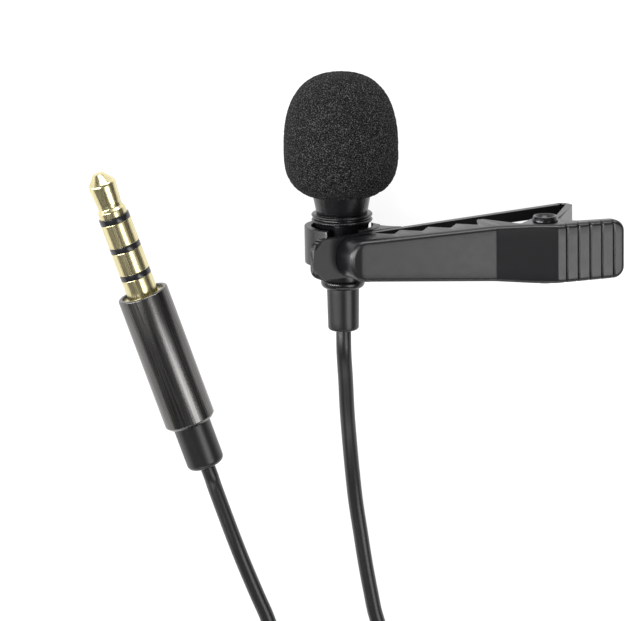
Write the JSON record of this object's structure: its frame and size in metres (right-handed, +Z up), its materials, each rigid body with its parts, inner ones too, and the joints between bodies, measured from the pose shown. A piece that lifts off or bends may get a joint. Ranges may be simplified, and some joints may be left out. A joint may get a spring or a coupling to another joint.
{
  "type": "lavalier microphone",
  "caption": "Small clip-on microphone with a foam windscreen, a swivelling spring clip, a thin cord and a jack plug.",
  "frame": {"origin": "on the table, under the middle of the box of the microphone and its clip", "axes": "+X along the clip away from the microphone, +Y along the microphone towards the foam, +Z up from the table it lies on"},
  "size_m": [0.0584, 0.1024, 0.0152],
  "materials": {
    "foam": "open-cell acoustic foam, matt",
    "grille_metal": "dark perforated sheet",
    "felt": "thin black felt",
    "body_black": "satin black anodised",
    "black_rubber": "matt black",
    "can_metal": "bare drawn can",
    "brass": "bare",
    "film": "metallised film",
    "white_plastic": "moulded",
    "board_green": "solder mask",
    "chip_black": "moulded package",
    "wire_red": "wire insulation",
    "cord_black": "smooth satin jacket",
    "clip_black": "satin black lacquer",
    "pin_steel": "dark nickel",
    "spring_steel": "oil-blackened wire",
    "plug_gold": "pale gold plate, polished",
    "insulator_black": "glossy moulded bands",
    "shell_gunmetal": "gunmetal, fine lengthwise sheen",
    "tie_black": "woven hook-and-loop strip"
  },
  "bodies": {
    "microphone": {"front_grille": "grille_metal", "dust_felt": "felt", "capsule_housing": "body_black", "lower_body": "body_black", "rear_cap": "body_black", "strain_relief": "black_rubber", "capsule_boot": "black_rubber", "capsule_can": "can_metal", "diaphragm_ring": "brass", "diaphragm": "film", "spacer_ring": "white_plastic", "backplate": "brass", "insulator_cup": "white_plastic", "capsule_board": "board_green", "amplifier_chip": "chip_black", "signal_wires": "wire_red", "cord_crimp": "can_metal", "cord_end_mic": "cord_black", "plug_tip": "plug_gold", "plug_ring_front": "plug_gold", "plug_ring_rear": "plug_gold", "plug_sleeve": "plug_gold", "plug_insulators": "insulator_black", "plug_core": "insulator_black", "plug_lugs": "brass", "plug_wires": "wire_red", "plug_shell": "shell_gunmetal", "plug_boot": "black_rubber", "cord_end_plug": "cord_black", "cord_mic_run": "cord_black", "cord_coil": "cord_black", "cord_plug_run": "cord_black", "coil_tie": "tie_black"},
    "windscreen": {"foam_windscreen": "foam"},
    "clip": {"mic_holder": "clip_black", "clip_arm": "clip_black", "clip_pin": "pin_steel", "clip_spring": "spring_steel"},
    "lever": {"clip_lever": "clip_black"}
  },
  "joints": [
    {"name": "foam_slide", "type": "slide", "parent": "microphone", "child": "windscreen", "axis": [0, 1, 0], "range_m": [0, 0.012]},
    {"name": "clip_swivel", "type": "hinge", "parent": "microphone", "child": "clip", "pos_m": [-0.01212, -0.0051, 0.00635], "axis": [0, -1, 0], "range_deg": [0, 140]},
    {"name": "lever_squeeze", "type": "hinge", "parent": "clip", "child": "lever", "pos_m": [0.00961, -0.0051, 0.01258], "axis": [0, 1, 0], "range_deg": [0, 28], "stiffness_Nm_per_rad": 0.02, "springref_deg": -51.57, "deforming": ["clip_spring"]}
  ]
}
